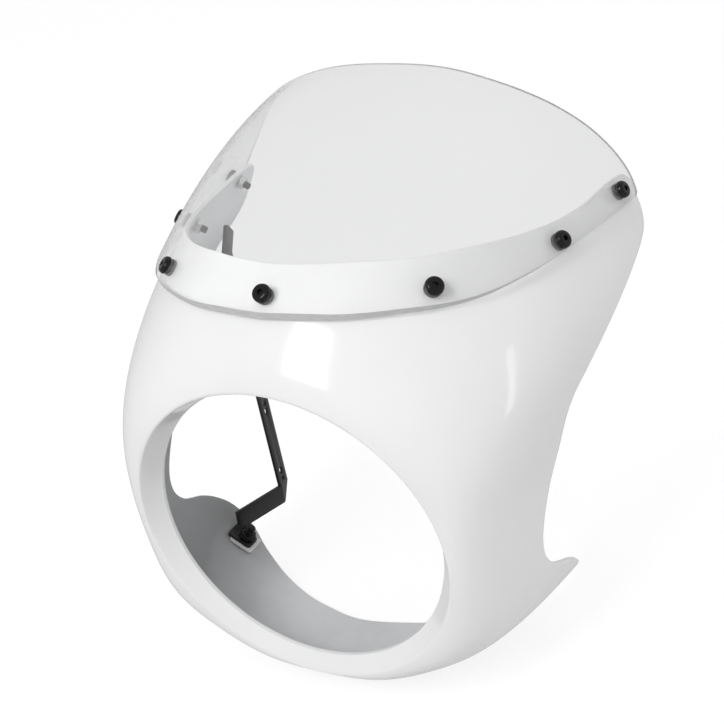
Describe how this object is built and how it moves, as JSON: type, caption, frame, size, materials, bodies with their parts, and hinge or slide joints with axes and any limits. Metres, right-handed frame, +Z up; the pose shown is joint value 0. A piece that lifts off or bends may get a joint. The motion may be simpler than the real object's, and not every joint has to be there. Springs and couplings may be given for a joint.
{
  "type": "headlight cowl",
  "caption": "Moulded motorcycle headlight cowl with a lamp opening, a clear bubble screen on screws and a folded steel bracket on each side.",
  "frame": {"origin": "centre of the lamp opening, at the rear edge of its flange", "axes": "+X to the right as seen from in front, +Y back along the lamp axis, +Z up; the lamp looks along -Y"},
  "size_m": [0.3018, 0.2447, 0.3361],
  "materials": {
    "shell_gloss": "gloss white moulded plastic",
    "screen_clear": "clear acrylic with polished edges",
    "black_screw": "black oxide steel",
    "black_rubber": "matt black rubber",
    "zinc": "bright zinc plate",
    "black_bracket": "satin black powder coat",
    "pale_pad": "pale nylon"
  },
  "bodies": {
    "root": {"cowl_shell": "shell_gloss", "windscreen": "screen_clear", "screw_centre": "black_screw", "screw_left_front": "black_screw", "screw_left_side": "black_screw", "screw_left_rear": "black_screw", "screw_right_front": "black_screw", "screw_right_side": "black_screw", "screw_right_rear": "black_screw", "spacer_centre": "black_rubber", "spacer_left_front": "black_rubber", "spacer_left_side": "black_rubber", "spacer_left_rear": "black_rubber", "spacer_right_front": "black_rubber", "spacer_right_side": "black_rubber", "spacer_right_rear": "black_rubber", "washer_centre": "zinc", "washer_left_front": "zinc", "washer_left_side": "zinc", "washer_left_rear": "zinc", "washer_right_front": "zinc", "washer_right_side": "zinc", "washer_right_rear": "zinc", "nut_centre": "zinc", "nut_left_front": "zinc", "nut_left_side": "zinc", "nut_left_rear": "zinc", "nut_right_front": "zinc", "nut_right_side": "zinc", "nut_right_rear": "zinc", "bracket_left": "black_bracket", "bracket_right": "black_bracket", "bracket_bolt_left": "black_screw", "bracket_bolt_right": "black_screw", "bracket_pad_left": "pale_pad", "bracket_pad_right": "pale_pad", "bracket_nut_left": "black_screw", "bracket_nut_right": "black_screw"}
  },
  "joints": []
}
